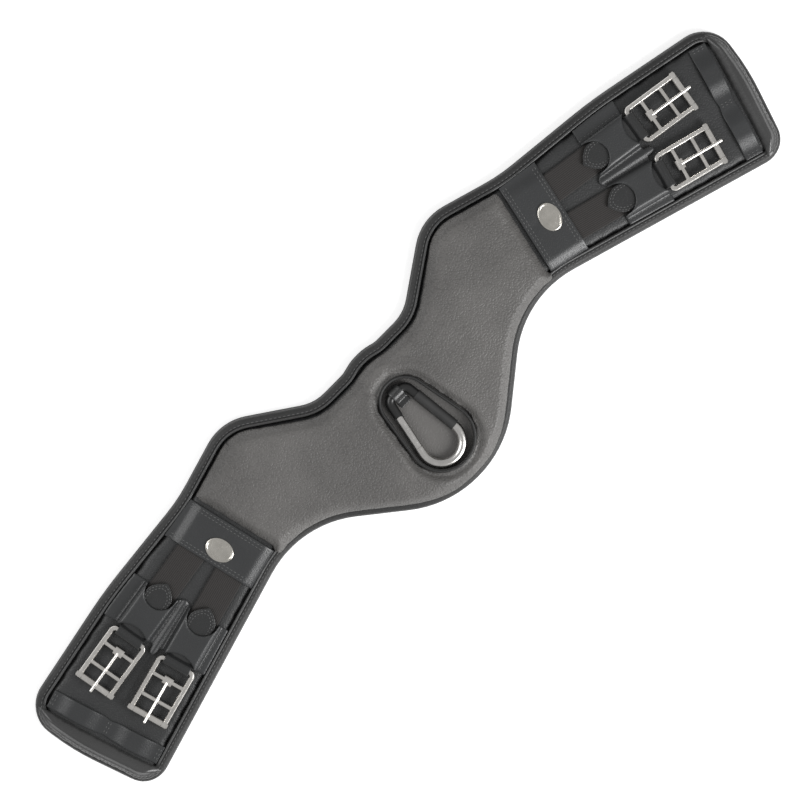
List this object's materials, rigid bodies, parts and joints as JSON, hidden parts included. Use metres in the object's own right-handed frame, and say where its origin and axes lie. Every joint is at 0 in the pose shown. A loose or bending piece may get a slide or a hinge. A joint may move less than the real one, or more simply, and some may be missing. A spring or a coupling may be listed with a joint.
{
  "type": "saddle girth",
  "caption": "Short shaped saddle girth in padded black leather with elastic-backed roller buckles, billet keepers and a snap hook in a chest window.",
  "frame": {"origin": "middle of the underside (lining face) of the girth's bounding box", "axes": "+X along the girth towards its right wing, +Y towards the rear edge (the one with the dip), +Z out of the outer face"},
  "size_m": [0.7776, 0.1753, 0.0224],
  "materials": {
    "lining_leather": "soft matt leather",
    "foam": "closed-cell foam",
    "webbing": "non-stretch webbing",
    "binding_leather": "satin rolled leather",
    "wing_leather": "soft satin leather",
    "piping": "glossy piped leather",
    "chest_leather": "soft pebbled leather",
    "band_leather": "smooth glossy leather",
    "strap_leather": "glossy bridle leather",
    "elastic_web": "matt woven elastic",
    "plate_metal": "polished",
    "buckle_steel": "satin stainless",
    "hook_steel": "bright stainless",
    "sleeve_plastic": "black sleeve"
  },
  "bodies": {
    "root": {"lining": "lining_leather", "foam_core": "foam", "core_webbing": "webbing", "edge_binding": "binding_leather", "outer_panel": "wing_leather", "edge_piping": "piping", "chest_foam": "foam", "chest_panel": "chest_leather", "window_rim": "binding_leather", "hook_loop": "strap_leather", "plate_posts": "plate_metal", "cross_band_right": "band_leather", "oval_plate_right": "plate_metal", "cover_panel_right": "band_leather", "billet_keeper_right": "band_leather", "end_patch_right": "band_leather", "elastic_rear_right": "elastic_web", "elastic_front_right": "elastic_web", "cross_band_left": "band_leather", "oval_plate_left": "plate_metal", "cover_panel_left": "band_leather", "billet_keeper_left": "band_leather", "end_patch_left": "band_leather", "elastic_rear_left": "elastic_web", "elastic_front_left": "elastic_web"},
    "hook": {"hook_body": "hook_steel", "hook_sleeve": "sleeve_plastic"},
    "gate": {"hook_gate": "hook_steel", "hook_gate_rivet": "hook_steel", "hook_gate_spring": "hook_steel"},
    "strap_rear_right": {"strap_rear_right": "strap_leather"},
    "buckle_rear_right": {"buckle_frame_rear_right": "buckle_steel", "buckle_pin_rear_right": "buckle_steel"},
    "tongue_rear_right": {"buckle_tongue_rear_right": "buckle_steel"},
    "roller_rear_right": {"buckle_roller_rear_right": "buckle_steel"},
    "strap_front_right": {"strap_front_right": "strap_leather"},
    "buckle_front_right": {"buckle_frame_front_right": "buckle_steel", "buckle_pin_front_right": "buckle_steel"},
    "tongue_front_right": {"buckle_tongue_front_right": "buckle_steel"},
    "roller_front_right": {"buckle_roller_front_right": "buckle_steel"},
    "strap_rear_left": {"strap_rear_left": "strap_leather"},
    "buckle_rear_left": {"buckle_frame_rear_left": "buckle_steel", "buckle_pin_rear_left": "buckle_steel"},
    "tongue_rear_left": {"buckle_tongue_rear_left": "buckle_steel"},
    "roller_rear_left": {"buckle_roller_rear_left": "buckle_steel"},
    "strap_front_left": {"strap_front_left": "strap_leather"},
    "buckle_front_left": {"buckle_frame_front_left": "buckle_steel", "buckle_pin_front_left": "buckle_steel"},
    "tongue_front_left": {"buckle_tongue_front_left": "buckle_steel"},
    "roller_front_left": {"buckle_roller_front_left": "buckle_steel"}
  },
  "joints": [
    {"name": "strap_rear_right_stretch", "type": "slide", "parent": "root", "child": "strap_rear_right", "axis": [0.9882, -0.153, 0], "range_m": [0, 0.009], "stiffness_N_per_m": 2000, "deforming": ["elastic_rear_right"]},
    {"name": "buckle_rear_right_tilt", "type": "hinge", "parent": "strap_rear_right", "child": "buckle_rear_right", "pos_m": [0.28707, 0.02205, 0.01605], "axis": [-0.153, -0.9882, 0], "range_deg": [0, 100]},
    {"name": "tongue_rear_right_lift", "type": "hinge", "parent": "buckle_rear_right", "child": "tongue_rear_right", "pos_m": [0.3014, 0.01983, 0.01605], "axis": [-0.153, -0.9882, 0], "range_deg": [0, 80]},
    {"name": "roller_rear_right_spin", "type": "hinge", "parent": "buckle_rear_right", "child": "roller_rear_right", "pos_m": [0.33351, 0.01486, 0.01605], "axis": [-0.153, -0.9882, 0], "continuous": true},
    {"name": "strap_front_right_stretch", "type": "slide", "parent": "root", "child": "strap_front_right", "axis": [0.9673, -0.2538, 0], "range_m": [0, 0.009], "stiffness_N_per_m": 2000, "deforming": ["elastic_front_right"]},
    {"name": "buckle_front_right_tilt", "type": "hinge", "parent": "strap_front_right", "child": "buckle_front_right", "pos_m": [0.27649, -0.02068, 0.01605], "axis": [-0.2538, -0.9673, 0], "range_deg": [0, 100]},
    {"name": "tongue_front_right_lift", "type": "hinge", "parent": "buckle_front_right", "child": "tongue_front_right", "pos_m": [0.29052, -0.02436, 0.01605], "axis": [-0.2538, -0.9673, 0], "range_deg": [0, 80]},
    {"name": "roller_front_right_spin", "type": "hinge", "parent": "buckle_front_right", "child": "roller_front_right", "pos_m": [0.32195, -0.0326, 0.01605], "axis": [-0.2538, -0.9673, 0], "continuous": true},
    {"name": "strap_rear_left_stretch", "type": "slide", "parent": "root", "child": "strap_rear_left", "axis": [-0.9882, -0.153, 0], "range_m": [0, 0.009], "stiffness_N_per_m": 2000, "deforming": ["elastic_rear_left"]},
    {"name": "buckle_rear_left_tilt", "type": "hinge", "parent": "strap_rear_left", "child": "buckle_rear_left", "pos_m": [-0.28707, 0.02205, 0.01605], "axis": [-0.153, 0.9882, 0], "range_deg": [0, 100]},
    {"name": "tongue_rear_left_lift", "type": "hinge", "parent": "buckle_rear_left", "child": "tongue_rear_left", "pos_m": [-0.3014, 0.01983, 0.01605], "axis": [-0.153, 0.9882, 0], "range_deg": [0, 80]},
    {"name": "roller_rear_left_spin", "type": "hinge", "parent": "buckle_rear_left", "child": "roller_rear_left", "pos_m": [-0.33351, 0.01486, 0.01605], "axis": [-0.153, 0.9882, 0], "continuous": true},
    {"name": "strap_front_left_stretch", "type": "slide", "parent": "root", "child": "strap_front_left", "axis": [-0.9673, -0.2538, 0], "range_m": [0, 0.009], "stiffness_N_per_m": 2000, "deforming": ["elastic_front_left"]},
    {"name": "buckle_front_left_tilt", "type": "hinge", "parent": "strap_front_left", "child": "buckle_front_left", "pos_m": [-0.27649, -0.02068, 0.01605], "axis": [-0.2538, 0.9673, 0], "range_deg": [0, 100]},
    {"name": "tongue_front_left_lift", "type": "hinge", "parent": "buckle_front_left", "child": "tongue_front_left", "pos_m": [-0.29052, -0.02436, 0.01605], "axis": [-0.2538, 0.9673, 0], "range_deg": [0, 80]},
    {"name": "roller_front_left_spin", "type": "hinge", "parent": "buckle_front_left", "child": "roller_front_left", "pos_m": [-0.32195, -0.0326, 0.01605], "axis": [-0.2538, 0.9673, 0], "continuous": true},
    {"name": "hook_swing", "type": "hinge", "parent": "root", "child": "hook", "pos_m": [0.001, 0.008, 0.0158], "axis": [-1, 0, 0], "range_deg": [0, 90]},
    {"name": "gate_swing", "type": "hinge", "parent": "hook", "child": "gate", "pos_m": [-0.01189, -0.01055, 0.0158], "axis": [0, 0, 1], "range_deg": [0, 28], "stiffness_Nm_per_rad": 0.05, "springref_deg": -11.46}
  ]
}
